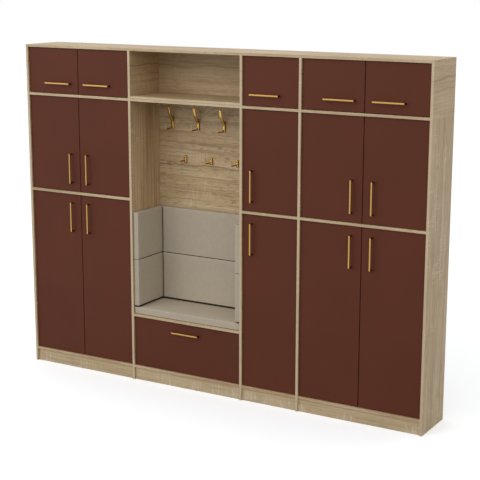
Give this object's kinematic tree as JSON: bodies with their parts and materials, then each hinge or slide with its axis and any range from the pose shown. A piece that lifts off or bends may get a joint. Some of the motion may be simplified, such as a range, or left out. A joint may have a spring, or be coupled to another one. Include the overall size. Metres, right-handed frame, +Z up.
{
  "type": "wardrobe wall unit",
  "caption": "Wardrobe wall unit of oak-look board with dark doors, brass bow handles and an open niche with a cushioned bench, coat hooks and a drawer.",
  "frame": {"origin": "on the floor, at the middle of the overall box, handles included", "axes": "+X along the wall to the right as seen from the room, +Y from the room to the wall, +Z up"},
  "size_m": [2.904, 0.359, 2.2],
  "materials": {
    "oak_laminate": "matt oak-grain laminate",
    "oxblood_laminate": "matt laminate",
    "brass": "satin",
    "greige_fabric": "plain weave",
    "hardboard": "smooth board",
    "steel": "zinc plated"
  },
  "bodies": {
    "carcass": {"back_cushions": "greige_fabric", "back_panels": "hardboard", "bench_board": "oak_laminate", "bottom_boards": "oak_laminate", "double_hooks": "brass", "fixed_runners": "steel", "hat_shelf_boards": "oak_laminate", "hook_board": "oak_laminate", "inner_shelves": "oak_laminate", "partition_left": "oak_laminate", "partition_middle": "oak_laminate", "partition_right": "oak_laminate", "pivot_pins": "steel", "plinth_boards": "oak_laminate", "seat_cushion": "greige_fabric", "side_cushions_left": "greige_fabric", "side_cushions_right": "greige_fabric", "side_panel_left": "oak_laminate", "side_panel_right": "oak_laminate", "single_hooks": "brass", "tier_shelves": "oak_laminate", "top_board": "oak_laminate", "wall_brackets": "steel"},
    "bay1_bottom_left": {"door_bay1_bottom_left": "oxblood_laminate", "handle_bay1_bottom_left": "brass"},
    "bay1_bottom_right": {"door_bay1_bottom_right": "oxblood_laminate", "handle_bay1_bottom_right": "brass"},
    "bay1_middle_left": {"door_bay1_middle_left": "oxblood_laminate", "handle_bay1_middle_left": "brass"},
    "bay1_middle_right": {"door_bay1_middle_right": "oxblood_laminate", "handle_bay1_middle_right": "brass"},
    "bay1_top_left": {"door_bay1_top_left": "oxblood_laminate", "handle_bay1_top_left": "brass"},
    "bay1_top_right": {"door_bay1_top_right": "oxblood_laminate", "handle_bay1_top_right": "brass"},
    "bay3_bottom": {"door_bay3_bottom": "oxblood_laminate", "handle_bay3_bottom": "brass"},
    "bay3_middle": {"door_bay3_middle": "oxblood_laminate", "handle_bay3_middle": "brass"},
    "bay3_top": {"door_bay3_top": "oxblood_laminate", "handle_bay3_top": "brass"},
    "bay4_bottom_left": {"door_bay4_bottom_left": "oxblood_laminate", "handle_bay4_bottom_left": "brass"},
    "bay4_bottom_right": {"door_bay4_bottom_right": "oxblood_laminate", "handle_bay4_bottom_right": "brass"},
    "bay4_middle_left": {"door_bay4_middle_left": "oxblood_laminate", "handle_bay4_middle_left": "brass"},
    "bay4_middle_right": {"door_bay4_middle_right": "oxblood_laminate", "handle_bay4_middle_right": "brass"},
    "bay4_top_left": {"door_bay4_top_left": "oxblood_laminate", "handle_bay4_top_left": "brass"},
    "bay4_top_right": {"door_bay4_top_right": "oxblood_laminate", "handle_bay4_top_right": "brass"},
    "drawer": {"drawer_bottom": "hardboard", "drawer_box_boards": "oak_laminate", "drawer_front": "oxblood_laminate", "drawer_handle": "brass", "moving_runners": "steel"}
  },
  "joints": [
    {"name": "bay1_bottom_left_swing", "type": "hinge", "parent": "carcass", "child": "bay1_bottom_left", "pos_m": [-1.42087, -0.1415, 0.6585], "axis": [0, 0, -1], "range_deg": [0, 105]},
    {"name": "bay1_bottom_right_swing", "type": "hinge", "parent": "carcass", "child": "bay1_bottom_right", "pos_m": [-0.63913, -0.1415, 0.6585], "axis": [0, 0, 1], "range_deg": [0, 90]},
    {"name": "bay1_middle_left_swing", "type": "hinge", "parent": "carcass", "child": "bay1_middle_left", "pos_m": [-1.42087, -0.1415, 1.5495], "axis": [0, 0, -1], "range_deg": [0, 105]},
    {"name": "bay1_middle_right_swing", "type": "hinge", "parent": "carcass", "child": "bay1_middle_right", "pos_m": [-0.63913, -0.1415, 1.5495], "axis": [0, 0, 1], "range_deg": [0, 90]},
    {"name": "bay1_top_left_swing", "type": "hinge", "parent": "carcass", "child": "bay1_top_left", "pos_m": [-1.42087, -0.1415, 2.033], "axis": [0, 0, -1], "range_deg": [0, 105]},
    {"name": "bay1_top_right_swing", "type": "hinge", "parent": "carcass", "child": "bay1_top_right", "pos_m": [-0.63913, -0.1415, 2.033], "axis": [0, 0, 1], "range_deg": [0, 90]},
    {"name": "bay3_bottom_swing", "type": "hinge", "parent": "carcass", "child": "bay3_bottom", "pos_m": [0.59287, -0.1415, 0.6585], "axis": [0, 0, 1], "range_deg": [0, 80]},
    {"name": "bay3_middle_swing", "type": "hinge", "parent": "carcass", "child": "bay3_middle", "pos_m": [0.59287, -0.1415, 1.5495], "axis": [0, 0, 1], "range_deg": [0, 80]},
    {"name": "bay3_top_swing", "type": "hinge", "parent": "carcass", "child": "bay3_top", "pos_m": [0.59287, -0.1415, 2.033], "axis": [0, 0, 1], "range_deg": [0, 80]},
    {"name": "bay4_bottom_left_swing", "type": "hinge", "parent": "carcass", "child": "bay4_bottom_left", "pos_m": [0.63913, -0.1415, 0.6585], "axis": [0, 0, -1], "range_deg": [0, 80]},
    {"name": "bay4_bottom_right_swing", "type": "hinge", "parent": "carcass", "child": "bay4_bottom_right", "pos_m": [1.42087, -0.1415, 0.6585], "axis": [0, 0, 1], "range_deg": [0, 105]},
    {"name": "bay4_middle_left_swing", "type": "hinge", "parent": "carcass", "child": "bay4_middle_left", "pos_m": [0.63913, -0.1415, 1.5495], "axis": [0, 0, -1], "range_deg": [0, 80]},
    {"name": "bay4_middle_right_swing", "type": "hinge", "parent": "carcass", "child": "bay4_middle_right", "pos_m": [1.42087, -0.1415, 1.5495], "axis": [0, 0, 1], "range_deg": [0, 105]},
    {"name": "bay4_top_left_swing", "type": "hinge", "parent": "carcass", "child": "bay4_top_left", "pos_m": [0.63913, -0.1415, 2.033], "axis": [0, 0, -1], "range_deg": [0, 80]},
    {"name": "bay4_top_right_swing", "type": "hinge", "parent": "carcass", "child": "bay4_top_right", "pos_m": [1.42087, -0.1415, 2.033], "axis": [0, 0, 1], "range_deg": [0, 105]},
    {"name": "drawer_slide", "type": "slide", "parent": "carcass", "child": "drawer", "axis": [0, -1, 0], "range_m": [0, 0.225]}
  ]
}
